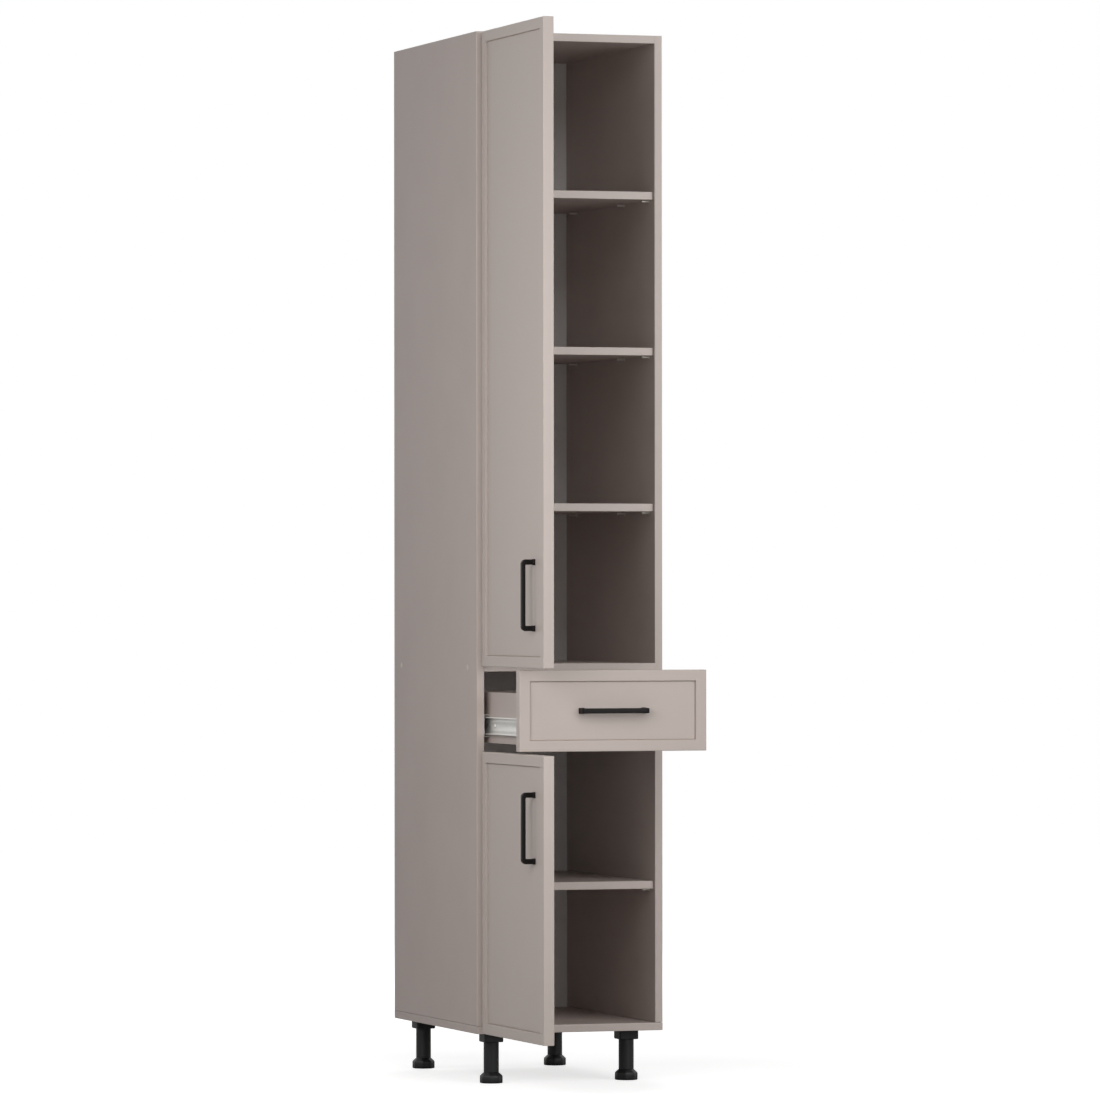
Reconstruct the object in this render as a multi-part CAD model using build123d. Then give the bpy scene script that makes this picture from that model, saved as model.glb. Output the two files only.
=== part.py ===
from build123d import *
import math
import os

# Tall kitchen cabinet, millimetres, +Z up, origin on the floor under the middle of the carcass.
# The rest pose is the one seen: both doors open at a right angle, drawer pulled out part way.

# Carcass
width = 400.0
carcass_height = 2040.0
carcass_depth = 570.0
board = 16.0
back_thick = 3.0
nail_head = 0.6
nail_head_radius = 2.2
nail_radius = 0.8
nail_length = 20.0
nail_spacing = 200.0
nail_end_inset = 60.0
joint_row_front = 60.0
joint_row_rear = 52.0
screw_length = 50.0
leg_height = 105.0

# Fronts
front_thick = 22.0
front_reveal = 2.0
front_gap = 2.0
front_spacing = 5.0
end_reveal = 1.5
lower_door_height = 573.0
drawer_front_height = 163.0
frame_width = 22.0
recess_depth = 5.0
recess_corner = 2.0
front_edge_round = 1.5

# Shelves
upper_shelf_count = 3
hole_pitch = 32.0
shelf_setback = 10.0
shelf_side_gap = 1.0
shelf_back_gap = 4.0
upper_shelf_shift = 3.5
lower_shelf_height = 298.0
pin_radius = 2.5
pin_depth = 9.0
pin_reach = 16.0
pin_front = 35.0
pin_middle = 190.0
pin_rear = 70.0

# Handles
handle_spacing = 132.0
handle_width = 10.5
handle_bar_depth = 8.0
handle_projection = 28.0
handle_corner = 9.0
handle_inner_corner = 2.0
handle_collar = 12.0
handle_collar_height = 4.5
handle_edge_inset = 72.0
handle_end_inset = 145.0
handle_screw_radius = 2.0

# Drawer
drawer_out = 249.0
drawer_box_height = 103.0
drawer_box_lift = 12.5
drawer_box_length = 480.0
drawer_bottom_lift = 10.0
drawer_bottom_thick = 3.0
groove_depth = 8.0
box_screw_low = 32.0
box_screw_high = 20.0
box_screw_length = 45.0
box_screw_radius = 2.2
box_screw_head = 4.0
box_screw_head_height = 2.5
front_screw_low = 30.0
front_screw_high = 22.0
front_screw_inset = 50.0
front_screw_grip = 12.0
front_screw_radius = 2.0
front_screw_head = 4.5
front_screw_head_height = 2.0

# Ball runners
runner_height = 45.0
runner_space = 13.0
runner_sheet = 1.2
runner_length = 450.0
runner_setback = 3.0
runner_screw_front = 34.0
runner_screw_rear = 40.0
member_screw_front = 40.0
member_screw_rear = 60.0
runner_screw_radius = 1.9
runner_screw_head = 3.6
runner_screw_head_height = 1.6
runner_screw_grip = 12.0
drawer_member_height = 36.0
runner_lift = 12.5
ball_play = 0.08
cage_sheet = 0.8
cage_length = 100.0
balls_per_row = 6

# Concealed hinges, measured from the left outer face and the carcass front, door closed
arm_pivot = (36.8, 2.7)
cup_pivot = (11.5, -6.5)
link_knee = (18.3, -12.4)
link_turn = 44.02
cup_radius = 17.5
cup_edge = 4.0
cup_depth = 13.6
cup_wall = 1.0
hinge_end_inset = 100.0
lower_hinge_inset = 90.0
hinge_line = 37.0
hinge_pin_radius = 1.5
hinge_play = 0.08
cheek_inner = 5.4
cheek_thick = 1.5
link_eye = 2.6
link_half_width = 2.2
plate_thick = 3.0
plate_front = 18.0
plate_rear = 22.0
plate_half = 7.0
wing_half_width = 6.0
wing_half_length = 24.0
wing_screw_offset = 16.0
plate_screw_grip = 12.0
plate_screw_radius = 2.2
plate_screw_head = 4.2
plate_screw_head_height = 2.0
arm_width = 14.0
arm_depth = 8.0
arm_sheet = 1.5
arm_front = 12.0
arm_rear = 24.0
arm_block_front = 12.0
arm_block_rear = 14.0

# Legs
leg_inset_side = 54.0
leg_inset_front = 73.0
leg_inset_back = 34.0
socket_size = 41.0
socket_height = 21.0
socket_screw_offset = 14.2
tube_radius = 15.6
spigot_radius = 12.0
stem_radius = 9.0
foot_radius = 24.0
foot_height = 22.0
foot_shoulder = 6.5
leg_play = 0.08

# Values that follow from those above
x_out = width / 2
x_in = x_out - board
y_front = -carcass_depth / 2
y_panel = carcass_depth / 2 - back_thick
y_back = carcass_depth / 2
z_base = leg_height
z_top = leg_height + carcass_height
front_width = width - 2 * front_reveal
lower_door_bottom = z_base + end_reveal
lower_door_top = lower_door_bottom + lower_door_height
drawer_bottom_z = lower_door_top + front_spacing
drawer_top_z = drawer_bottom_z + drawer_front_height
upper_door_bottom = drawer_top_z + front_spacing
upper_door_top = z_top - end_reveal
divider_mid = drawer_top_z + front_spacing / 2
divider_top = divider_mid + board / 2
top_under = z_top - board
upper_mid = (divider_top + top_under) / 2 + upper_shelf_shift
upper_pitch = hole_pitch * round((top_under - divider_top) / (upper_shelf_count + 1) / hole_pitch)

os.makedirs("parts", exist_ok=True)


def block(x0, x1, y0, y1, z0, z1):
    solid = Box(x1 - x0, y1 - y0, z1 - z0)
    return Pos((x0 + x1) / 2, (y0 + y1) / 2, (z0 + z1) / 2) * solid


def rod(start, end, radius):
    a = Vector(*start)
    b = Vector(*end)
    plane = Plane(origin=a, z_dir=b - a)
    return extrude(plane * Circle(radius), (b - a).length)


def save(name, solids):
    if isinstance(solids, list):
        export_step(Compound(children=solids), "parts/" + name + ".step")
    else:
        export_step(solids, "parts/" + name + ".step")


def screw(start, end, radius, head_radius, head_height):
    # The head sits at the start, its top face there.
    a = Vector(*start)
    b = Vector(*end)
    n = (b - a).normalized()
    neck = a + n * head_height
    return rod(start, tuple(neck), head_radius) + rod(tuple(neck), end, radius)


# Carcass fasteners come first, so that every panel is drilled by the pieces that sit in it.
row_front = y_front + joint_row_front
row_rear = y_panel - joint_row_rear

carcass_screws = []
screw_caps = []
for side in (-1, 1):
    for y in (row_front, row_rear):
        start = (side * (x_out - 0.5), y, divider_mid)
        end = (side * (x_out - screw_length), y, divider_mid)
        carcass_screws.append(screw(start, end, 3.0, 5.0, 3.0))
        cap = rod((side * (x_out - 0.5), y, divider_mid), (side * x_out, y, divider_mid), 4.5)
        cap += rod((side * x_out, y, divider_mid), (side * (x_out + 0.8), y, divider_mid), 6.0)
        screw_caps.append(cap)
    for y in (row_front, (row_front + row_rear) / 2, row_rear):
        x = side * (x_out - board / 2)
        carcass_screws.append(screw((x, y, z_base), (x, y, z_base + screw_length), 3.0, 5.0, 3.0))

cam_locks = []
cam_wells = []
cam_bolts = []
top_dowels = []
for side in (-1, 1):
    for y in (row_front, row_rear):
        x_cam = side * (x_in - 24)
        z_mid = z_top - board / 2
        bolt = rod((side * (x_in - 18), y, z_mid), (side * (x_in + 11), y, z_mid), 3.0)
        cam = rod((x_cam, y, z_top - 12.5), (x_cam, y, z_top), 7.5)
        cam_wells.append(cam)
        cam = cam - block(x_cam - 5, x_cam + 5, y - 0.6, y + 0.6, z_top - 1, z_top)
        cam_locks.append(cam - bolt)
        cam_bolts.append(bolt)
        y_dowel = y + 40 * (1 if y < 0 else -1)
        start = (side * (x_in - 20), y_dowel, z_mid)
        top_dowels.append(rod(start, (side * (x_in + 11), y_dowel, z_mid), 4.0))

# Shelf supports
upper_shelves = []
for i in range(upper_shelf_count):
    upper_shelves.append(upper_mid + (i - (upper_shelf_count - 1) / 2) * upper_pitch)
lower_shelf_mid = z_base + lower_shelf_height
shelf_pins = []
pin_rows = (pin_front, pin_middle, carcass_depth - pin_rear)
for z_mid in upper_shelves + [lower_shelf_mid]:
    z_pin = z_mid - board / 2 - pin_radius
    for side in (-1, 1):
        for row in pin_rows:
            y = y_front + row
            start = (side * (x_in - pin_reach), y, z_pin)
            shelf_pins.append(rod(start, (side * (x_in + pin_depth), y, z_pin), pin_radius))

# Hinges: heights and the two poses of a door
upper_hinges = [upper_door_bottom + hinge_end_inset]
upper_hinges.append((upper_shelves[0] + upper_shelves[1]) / 2)
upper_hinges.append(upper_door_top - hinge_end_inset)
lower_hinges = [lower_door_bottom + lower_hinge_inset, lower_door_top - lower_hinge_inset]


def hinge_xy(point):
    return (-x_out + point[0], y_front + point[1])


def turned(point, centre, degrees):
    c = math.cos(math.radians(degrees))
    s = math.sin(math.radians(degrees))
    dx = point[0] - centre[0]
    dy = point[1] - centre[1]
    return (centre[0] + c * dx - s * dy, centre[1] + s * dx + c * dy)


pivot_a = hinge_xy(arm_pivot)
pivot_c = hinge_xy(cup_pivot)
pivot_c_open = turned(pivot_c, pivot_a, link_turn)
knee = hinge_xy(link_knee)
door_open = Pos(pivot_c_open[0], pivot_c_open[1], 0) * Rot(0, 0, -90) * Pos(-pivot_c[0], -pivot_c[1], 0)
link_open = Pos(pivot_a[0], pivot_a[1], 0) * Rot(0, 0, link_turn) * Pos(-pivot_a[0], -pivot_a[1], 0)
cup_x = -x_out + front_reveal + cup_edge + cup_radius
door_back_y = y_front - front_gap
door_front_y = door_back_y - front_thick

hinge_plates = []
hinge_plate_screws = []
hinge_arms = []
for z in upper_hinges + lower_hinges:
    y_line = y_front + hinge_line
    face = -x_in + plate_thick
    wing = wing_half_width
    plate = block(-x_in, face, y_line - plate_front, y_line + plate_rear, z - plate_half, z + plate_half)
    plate += block(-x_in, face, y_line - wing, y_line + wing, z - wing_half_length, z + wing_half_length)
    for dz in (-wing_screw_offset, wing_screw_offset):
        tip = (-x_in - plate_screw_grip, y_line, z + dz)
        head = (plate_screw_head, plate_screw_head_height)
        fix = screw((face, y_line, z + dz), tip, plate_screw_radius, *head)
        hinge_plate_screws.append(fix)
        plate -= fix
    hinge_plates.append(plate)
    pin = rod((pivot_a[0], pivot_a[1], z - 8), (pivot_a[0], pivot_a[1], z + 8), hinge_pin_radius)
    arm_end = pivot_a[0] + 5
    arm_x = -x_in + plate_thick
    half = arm_width / 2
    arm_y0 = y_front + arm_front
    arm_y1 = y_line + arm_rear
    inner_x = arm_x + arm_depth - arm_sheet
    inner_half = half - arm_sheet
    arm = block(arm_x, arm_x + arm_depth, arm_y0, arm_y1, z - half, z + half)
    arm -= block(arm_x, inner_x, arm_y0, arm_y1, z - inner_half, z + inner_half)
    core_y0 = y_line - arm_block_front
    arm += block(arm_x, inner_x, core_y0, y_line + arm_block_rear, z - inner_half, z + inner_half)
    nose = block(arm_x, arm_end, y_front + 9, y_front + 16, z - 5, z + 5)
    nose += block(pivot_a[0] - 4.5, arm_end, y_front - 0.8, y_front + 16, z - 5, z + 5)
    arm = arm + nose - pin
    face = arm_x + arm_depth
    dimple = rod((face, y_line - 6, z), (face - 1, y_line - 6, z), 3.5)
    slot = block(face - 1, face, y_line + 4, y_line + 12, z - 2.5, z + 2.5)
    hinge_arms.append(arm - dimple - slot)
    hinge_arms.append(pin)


def door_hardware(heights):
    # Cups, their pins and their screws, for a closed door.
    cups = []
    screws = []
    wing_x = cup_x + 9.5
    for z in heights:
        cup = rod((cup_x, door_back_y, z), (cup_x, door_back_y - cup_depth, z), cup_radius)
        wing = block(cup_x + 2, cup_x + 17, door_back_y, door_back_y + 0.8, z - 28, z + 28)
        cup += wing
        cup_floor = door_back_y - cup_depth + cup_wall
        hollow = rod((cup_x, door_back_y + 1, z), (cup_x, cup_floor, z), cup_radius - cup_wall)
        cup -= hollow
        # A notch in the rim lets the link lean over the door's edge.
        rim_x = cup_x - cup_radius
        cup -= block(rim_x - 1, rim_x + 4, door_back_y - 5, door_back_y + 1, z - 8.5, z + 8.5)
        reach = cup_x - pivot_c[0] + hinge_pin_radius
        half = math.sqrt(cup_radius ** 2 - reach ** 2) - 0.1
        pin = rod((pivot_c[0], pivot_c[1], z - half), (pivot_c[0], pivot_c[1], z + half), hinge_pin_radius)
        cup -= pin
        for dz in (-22.5, 22.5):
            start = (wing_x, door_back_y + 1.2, z + dz)
            fix = screw(start, (wing_x, door_back_y - 12, z + dz), 1.8, 3.6, 1.2)
            screws.append(fix)
            cup -= fix
        cups.append(cup)
        cups.append(pin)
    return cups, screws


def hinge_links(heights):
    # Two cheeks and a cross bar for each hinge, closed pose.
    links = []
    profile = Pos(pivot_c[0], pivot_c[1]) * Circle(link_eye)
    profile += Pos(pivot_a[0], pivot_a[1]) * Circle(link_eye + 0.8)
    profile += Pos(knee[0], knee[1]) * Circle(link_half_width - 0.4)
    for start, end, half in ((pivot_c, knee, link_half_width), (knee, pivot_a, link_half_width - 0.4)):
        dx = end[0] - start[0]
        dy = end[1] - start[1]
        size = math.hypot(dx, dy)
        bar = Rot(0, 0, math.degrees(math.atan2(dy, dx))) * Rectangle(size, 2 * half)
        profile += Pos((start[0] + end[0]) / 2, (start[1] + end[1]) / 2) * bar
    for p in (pivot_a, pivot_c):
        profile -= Pos(p[0], p[1]) * Circle(hinge_pin_radius + hinge_play)
    for z in heights:
        link = Pos(0, 0, z + cheek_inner) * extrude(profile, cheek_thick)
        link += Pos(0, 0, z - cheek_inner - cheek_thick) * extrude(profile, cheek_thick)
        link += rod((knee[0], knee[1], z - cheek_inner), (knee[0], knee[1], z + cheek_inner), 1.6)
        links.append(link)
    return links


def handle_at_origin():
    # Bar along X, standing off towards -Y from the plane y = 0.
    length = handle_spacing + handle_width
    outer = RectangleRounded(length, 2 * handle_projection, handle_corner)
    inner_height = 2 * (handle_projection - handle_bar_depth)
    inner = RectangleRounded(length - 2 * handle_width, inner_height, handle_inner_corner)
    bow = extrude(outer - inner, handle_width / 2, both=True)
    ends = bow.faces().sort_by(Axis.Z)
    bow = fillet(ends[0].edges() + ends[-1].edges(), handle_width * 0.16)
    bow = bow & Pos(0, -handle_projection, 0) * Box(2 * length, 2 * handle_projection, 2 * handle_width)
    for side in (-1, 1):
        collar = Box(handle_collar, handle_collar_height, handle_collar)
        collar = fillet(collar.edges().filter_by(Axis.Y), 2.0)
        outer_face = collar.faces().sort_by(Axis.Y)[0]
        collar = chamfer(outer_face.edges(), 0.8)
        bow += Pos(side * handle_spacing / 2, -handle_collar_height / 2, 0) * collar
    return bow


def front_panel(x0, x1, z0, z1):
    # A one-piece front with a slim frame round a sunk field, closed pose.
    slab = block(x0, x1, door_front_y, door_back_y, z0, z1)
    face = slab.faces().sort_by(Axis.Y)[0]
    slab = fillet(face.edges(), front_edge_round)
    field = RectangleRounded(x1 - x0 - 2 * frame_width, z1 - z0 - 2 * frame_width, recess_corner)
    plane = Plane(origin=((x0 + x1) / 2, door_front_y, (z0 + z1) / 2), x_dir=(1, 0, 0), z_dir=(0, 1, 0))
    return slab - extrude(plane * field, recess_depth)


def handle_screws(points, front_y, back_y):
    screws = []
    for x, z in points:
        start = (x, back_y + 2.2, z)
        screws.append(screw(start, (x, front_y - 12, z), handle_screw_radius, 4.0, 2.2))
    return screws


def make_door(name, z0, z1, handle_mid, heights):
    x0 = -x_out + front_reveal
    x1 = x0 + front_width
    panel = front_panel(x0, x1, z0, z1)
    field_y = door_front_y + recess_depth
    handle_x = x1 - handle_edge_inset
    points = [(handle_x, handle_mid - handle_spacing / 2), (handle_x, handle_mid + handle_spacing / 2)]
    screws = handle_screws(points, field_y, door_back_y)
    cups, cup_screws = door_hardware(heights)
    bores = []
    for z in heights:
        bores.append(rod((cup_x, door_back_y, z), (cup_x, door_back_y - cup_depth, z), cup_radius))
    handle = Pos(handle_x, field_y, handle_mid) * Rot(0, 90, 0) * handle_at_origin()
    pads = []
    for z in (z0 + 12, z1 - 12):
        pads.append(rod((x1 - 8, door_back_y, z), (x1 - 8, door_back_y + 1.6, z), 4.0))
    save(name + "_panel", door_open * (panel - bores - screws - cup_screws))
    save(name + "_handle", door_open * (handle - screws))
    save(name + "_handle_screws", [door_open * s for s in screws])
    save(name + "_hinge_cups", [door_open * s for s in cups])
    save(name + "_cup_screws", [door_open * s for s in cup_screws])
    save(name + "_bumpers", [door_open * s for s in pads])
    save(name + "_hinge_links", [link_open * s for s in hinge_links(heights)])


upper_handle_mid = upper_door_bottom + handle_end_inset
lower_handle_mid = lower_door_top - handle_end_inset
make_door("upper_door", upper_door_bottom, upper_door_top, upper_handle_mid, upper_hinges)
make_door("lower_door", lower_door_bottom, lower_door_top, lower_handle_mid, lower_hinges)

# Drawer, built closed and then drawn out
pull = Pos(0, -drawer_out, 0)
box_x = x_in - runner_space
box_z0 = drawer_bottom_z + drawer_box_lift
box_z1 = box_z0 + drawer_box_height
box_y0 = door_back_y
box_y1 = box_y0 + drawer_box_length
runner_z = box_z0 + runner_lift + runner_height / 2
floor_z = box_z0 + drawer_bottom_lift
drawer_x0 = -x_out + front_reveal
drawer_x1 = drawer_x0 + front_width
field_y = door_front_y + recess_depth

drawer_bottom = block(
    -box_x + board - groove_depth,
    box_x - board + groove_depth,
    box_y0 + board - groove_depth,
    box_y1 - board + groove_depth,
    floor_z,
    floor_z + drawer_bottom_thick,
)
box_screws = []
front_screws = []
runner_drawer_screws = []
for side in (-1, 1):
    for y in (box_y0 + board / 2, box_y1 - board / 2):
        for z in (box_z0 + box_screw_low, box_z1 - box_screw_high):
            start = (side * box_x, y, z)
            end = (side * (box_x - box_screw_length), y, z)
            fix = screw(start, end, box_screw_radius, box_screw_head, box_screw_head_height)
            box_screws.append(fix)
    for z in (box_z0 + front_screw_low, box_z1 - front_screw_high):
        x = side * (box_x - front_screw_inset)
        start = (x, box_y0 + board + front_screw_head_height, z)
        end = (x, box_y0 - front_screw_grip, z)
        fix = screw(start, end, front_screw_radius, front_screw_head, front_screw_head_height)
        front_screws.append(fix)
    first = box_y0 + member_screw_front
    last = box_y0 + runner_length - member_screw_rear
    for y in (first, (first + last) / 2, last):
        start = (side * (box_x + runner_sheet + runner_screw_head_height), y, runner_z)
        end = (side * (box_x - runner_screw_grip), y, runner_z)
        fix = screw(start, end, runner_screw_radius, runner_screw_head, runner_screw_head_height)
        runner_drawer_screws.append(fix)

drawer_handle_mid = (drawer_bottom_z + drawer_top_z) / 2
points = [(-handle_spacing / 2, drawer_handle_mid), (handle_spacing / 2, drawer_handle_mid)]
drawer_handle_screws = handle_screws(points, field_y, door_back_y)
head_wells = []
for x, z in points:
    head_wells.append(rod((x, box_y0, z), (x, box_y0 + board, z), 6.0))

drawer_front = front_panel(drawer_x0, drawer_x1, drawer_bottom_z, drawer_top_z)
inner_front = block(-box_x + board, box_x - board, box_y0, box_y0 + board, box_z0, box_z1)
drawer_back = block(-box_x + board, box_x - board, box_y1 - board, box_y1, box_z0, box_z1)
drawer_handle = Pos(0, field_y, drawer_handle_mid) * handle_at_origin()
drilling = box_screws + front_screws + runner_drawer_screws
save("drawer_front", pull * (drawer_front - drawer_handle_screws - front_screws))
save("drawer_inner_front", pull * (inner_front - drilling - head_wells - drawer_bottom))
save("drawer_back", pull * (drawer_back - drilling - drawer_bottom))
save("drawer_bottom", pull * drawer_bottom)
save("drawer_handle", pull * (drawer_handle - drawer_handle_screws))
save("drawer_handle_screws", [pull * s for s in drawer_handle_screws])
save("drawer_box_screws", [pull * s for s in box_screws])
save("drawer_front_screws", [pull * s for s in front_screws])
save("runner_drawer_screws", [pull * s for s in runner_drawer_screws])

runner_y0 = y_front + runner_setback
runner_y1 = runner_y0 + runner_length
runner_cabinet_screws = []
ball_cages = []
gap_height = (runner_height - 2 * runner_sheet - drawer_member_height) / 2
ball_radius = gap_height / 2 - ball_play
cage_mid = (runner_y0 + runner_y1 - drawer_out) / 2
for side, word in ((-1, "left"), (1, "right")):
    wall = block(-box_x, -box_x + board, box_y0, box_y1, box_z0, box_z1)
    if side > 0:
        wall = block(box_x - board, box_x, box_y0, box_y1, box_z0, box_z1)
    save("drawer_" + word + "_side", pull * (wall - drilling - drawer_bottom))

    z0 = runner_z - runner_height / 2
    z1 = runner_z + runner_height / 2
    xs = sorted((side * x_in, side * (x_in - runner_space + 1.0)))
    outer = block(xs[0], xs[1], runner_y0, runner_y1, z0, z1)
    xs = sorted((side * (x_in - runner_sheet), side * (x_in - runner_space)))
    outer -= block(xs[0], xs[1], runner_y0, runner_y1, z0 + runner_sheet, z1 - runner_sheet)
    first = runner_y0 + runner_screw_front
    last = runner_y1 - runner_screw_rear
    for y in (first, (first + last) / 2, last):
        start = (side * (x_in - runner_sheet - runner_screw_head_height), y, runner_z)
        end = (side * (x_in + runner_screw_grip), y, runner_z)
        fix = screw(start, end, runner_screw_radius, runner_screw_head, runner_screw_head_height)
        runner_cabinet_screws.append(fix)
        outer -= fix
    save("runner_cabinet_" + word, outer)

    z0 = runner_z - drawer_member_height / 2
    z1 = runner_z + drawer_member_height / 2
    xs = sorted((side * box_x, side * (box_x + runner_space - runner_sheet - 1.4)))
    inner = block(xs[0], xs[1], runner_y0, runner_y1, z0, z1)
    xs = sorted((side * (box_x + runner_sheet), side * (box_x + runner_space)))
    inner -= block(xs[0], xs[1], runner_y0, runner_y1, z0 + runner_sheet, z1 - runner_sheet)
    save("runner_drawer_" + word, pull * (inner - runner_drawer_screws))

    ball_x = side * (x_in - runner_space / 2)
    for way in (-1, 1):
        z_ball = runner_z + way * (drawer_member_height / 2 + gap_height / 2)
        strip = block(
            ball_x - 3.0,
            ball_x + 3.0,
            cage_mid - cage_length / 2,
            cage_mid + cage_length / 2,
            z_ball - cage_sheet / 2,
            z_ball + cage_sheet / 2,
        )
        for k in range(balls_per_row):
            y = cage_mid + (k - (balls_per_row - 1) / 2) * cage_length / balls_per_row
            ball = Pos(ball_x, y, z_ball) * Sphere(ball_radius)
            strip -= ball
            ball_cages.append(ball)
        ball_cages.append(strip)
save("runner_ball_cages", ball_cages)
save("runner_cabinet_screws", runner_cabinet_screws)


def nail(x, z):
    return screw((x, y_back, z), (x, y_back - nail_length, z), nail_radius, nail_head_radius, nail_head)


# Back panel nails
back_nails = []
nail_count = max(3, int(carcass_height // nail_spacing))
for side in (-1, 1):
    for k in range(nail_count):
        z = z_base + nail_end_inset + k * (carcass_height - 2 * nail_end_inset) / (nail_count - 1)
        back_nails.append(nail(side * (x_out - board / 2), z))
for z in (z_base + board / 2, divider_mid, z_top - board / 2):
    for x in (-x_in / 2, 0, x_in / 2):
        back_nails.append(nail(x, z))

# Legs
leg_sockets = []
leg_tubes = []
leg_screws = []
leg_x = x_out - leg_inset_side
leg_ys = (("front", y_front + leg_inset_front), ("back", y_back - leg_inset_back))
for y_word, y in leg_ys:
    for x_word, x in (("left", -leg_x), ("right", leg_x)):
        half = socket_size / 2
        plate = block(x - half, x + half, y - half, y + half, z_base - socket_height, z_base)
        plate = fillet(plate.edges().filter_by(Axis.Z), 4.0)
        plate = chamfer(plate.faces().sort_by(Axis.Z)[0].edges(), 1.5)
        for sx in (-1, 1):
            for sy in (-1, 1):
                px = x + sx * socket_screw_offset
                py = y + sy * socket_screw_offset
                fix = screw((px, py, z_base - socket_height + 5), (px, py, z_base + 12), 1.9, 3.6, 2.0)
                leg_screws.append(fix)
                plate -= fix
                plate -= rod((px, py, z_base - socket_height), (px, py, z_base - socket_height + 5), 4.0)
        z_tube = foot_height + 0.5
        z_socket = z_base - socket_height
        tube = rod((x, y, z_tube), (x, y, z_socket), tube_radius)
        tube += rod((x, y, z_socket), (x, y, z_socket + 11), spigot_radius)
        tube -= rod((x, y, z_tube), (x, y, z_socket - 6), stem_radius + leg_play)
        plate -= rod((x, y, z_socket), (x, y, z_socket + 11), spigot_radius)
        leg_sockets.append(plate)
        leg_tubes.append(tube)
        grip = extrude(Pos(x, y) * RegularPolygon(foot_radius, 8, rotation=22.5), foot_height)
        dome = rod((x, y, 0), (x, y, foot_height), foot_radius)
        top_edge = dome.edges().filter_by(GeomType.CIRCLE).sort_by(Axis.Z)[-1]
        dome = chamfer(top_edge, foot_shoulder, foot_radius - tube_radius - 1)
        foot = grip & dome
        foot += rod((x, y, foot_height - 1), (x, y, z_socket - 10), stem_radius)
        foot -= rod((x, y, 0), (x, y, 2), foot_radius - 9)
        save("leg_foot_" + y_word + "_" + x_word, foot)
save("leg_sockets", leg_sockets)
save("leg_tubes", leg_tubes)
save("leg_screws", leg_screws)

# Panels, each drilled by the pieces that pass into it
fasteners = carcass_screws + screw_caps
side_tools = fasteners + cam_bolts + top_dowels + shelf_pins + hinge_plate_screws
side_tools += runner_cabinet_screws + back_nails


def drilled(panel, tools):
    box = panel.bounding_box()
    near = []
    for tool in tools:
        b = tool.bounding_box()
        apart = b.max.X < box.min.X or b.min.X > box.max.X
        apart = apart or b.max.Y < box.min.Y or b.min.Y > box.max.Y
        apart = apart or b.max.Z < box.min.Z or b.min.Z > box.max.Z
        if not apart:
            near.append(tool)
    if near:
        return panel - near
    return panel


left_panel = block(-x_out, -x_in, y_front, y_panel, z_base + board, z_top)
right_panel = block(x_in, x_out, y_front, y_panel, z_base + board, z_top)
top_panel = block(-x_in, x_in, y_front, y_panel, z_top - board, z_top)
bottom_panel = block(-x_out, x_out, y_front, y_panel, z_base, z_base + board)
divider = block(-x_in, x_in, y_front, y_panel, divider_mid - board / 2, divider_top)
back_panel = block(-x_out + 1, x_out - 1, y_panel, y_back, z_base + 1, z_top - 1)
save("left_side_panel", drilled(left_panel, side_tools))
save("right_side_panel", drilled(right_panel, side_tools))
save("top_panel", drilled(top_panel, cam_wells + cam_bolts + top_dowels + back_nails))
save("bottom_panel", drilled(bottom_panel, fasteners + leg_screws + back_nails))
save("fixed_divider", drilled(divider, fasteners + back_nails))
save("back_panel", drilled(back_panel, back_nails))


def shelf(z_mid):
    x = x_in - shelf_side_gap
    y0 = y_front + shelf_setback
    return block(-x, x, y0, y_panel - shelf_back_gap, z_mid - board / 2, z_mid + board / 2)


for i, z_mid in enumerate(upper_shelves):
    save("upper_shelf_" + str(i + 1), shelf(z_mid))
save("lower_shelf", shelf(lower_shelf_mid))
save("shelf_pins", shelf_pins)
save("top_dowels", top_dowels)
save("cam_locks", cam_locks)
save("cam_bolts", cam_bolts)
save("carcass_screws", carcass_screws)
save("screw_caps", screw_caps)
save("back_nails", back_nails)
save("hinge_plates", hinge_plates)
save("hinge_arms", hinge_arms)
save("hinge_plate_screws", hinge_plate_screws)
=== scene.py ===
import bmesh
import bpy
import math
import numpy as np
from mathutils import Matrix, Vector
from mathutils.geometry import delaunay_2d_cdt


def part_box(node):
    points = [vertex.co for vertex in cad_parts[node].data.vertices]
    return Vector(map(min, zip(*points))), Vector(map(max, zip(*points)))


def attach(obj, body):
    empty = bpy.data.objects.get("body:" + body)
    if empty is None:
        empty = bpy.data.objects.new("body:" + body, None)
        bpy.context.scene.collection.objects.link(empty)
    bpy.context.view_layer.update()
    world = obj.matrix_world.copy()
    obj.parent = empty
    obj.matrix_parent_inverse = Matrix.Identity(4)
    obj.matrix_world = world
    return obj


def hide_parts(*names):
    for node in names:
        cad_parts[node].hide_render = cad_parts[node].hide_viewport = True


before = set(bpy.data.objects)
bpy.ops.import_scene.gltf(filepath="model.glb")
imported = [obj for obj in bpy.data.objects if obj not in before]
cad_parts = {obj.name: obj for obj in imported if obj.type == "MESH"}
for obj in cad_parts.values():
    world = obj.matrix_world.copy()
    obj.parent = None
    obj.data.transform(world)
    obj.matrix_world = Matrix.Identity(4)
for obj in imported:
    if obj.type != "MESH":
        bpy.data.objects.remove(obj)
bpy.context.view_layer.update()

# Carcass boards: two sides, top, bottom and the fixed divider. Particle board faced with taupe melamine
# paper; the front edge of each carries a 0.8 mm strip of a paler taupe with softened corners. The sides
# stand on the bottom board, the top is drawn between them by cams, and the divider is screwed in.


def linear(code):
    """An sRGB hex colour as linear red, green, blue and alpha."""
    parts = np.array([int(code[i:i + 2], 16) for i in (1, 3, 5)]) / 255
    low = parts / 12.92
    high = ((parts + 0.055) / 1.055) ** 2.4
    return (*np.where(parts <= 0.04045, low, high).tolist(), 1.0)


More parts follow.
